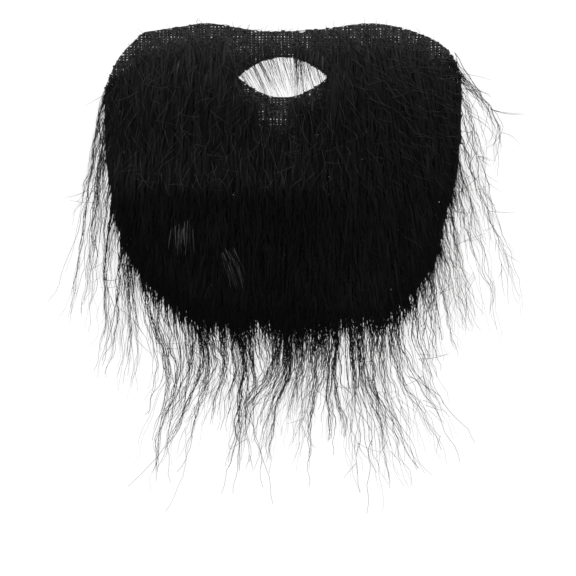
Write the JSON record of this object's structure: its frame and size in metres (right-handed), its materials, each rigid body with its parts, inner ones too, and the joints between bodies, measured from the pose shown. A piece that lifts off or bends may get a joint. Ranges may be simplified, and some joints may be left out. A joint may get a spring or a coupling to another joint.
{
  "type": "fake beard",
  "caption": "Full false beard with moustache: black hair on a woven ground with a mouth slit, lying flat with its hair side up.",
  "frame": {"origin": "on the back of the cloth at the point of the chin", "axes": "+Z out of the hair side, +Y towards the nose, +X to the right of someone looking at the hair"},
  "size_m": [0.2607, 0.2832, 0.0101],
  "materials": {
    "woven_ground": "coarse matt weave",
    "synthetic_hair": "fine satin fibre"
  },
  "bodies": {
    "root": {"backing_cloth": "woven_ground", "moustache_hair": "synthetic_hair", "chin_hair": "synthetic_hair", "left_cheek_hair": "synthetic_hair", "right_cheek_hair": "synthetic_hair"}
  },
  "joints": []
}
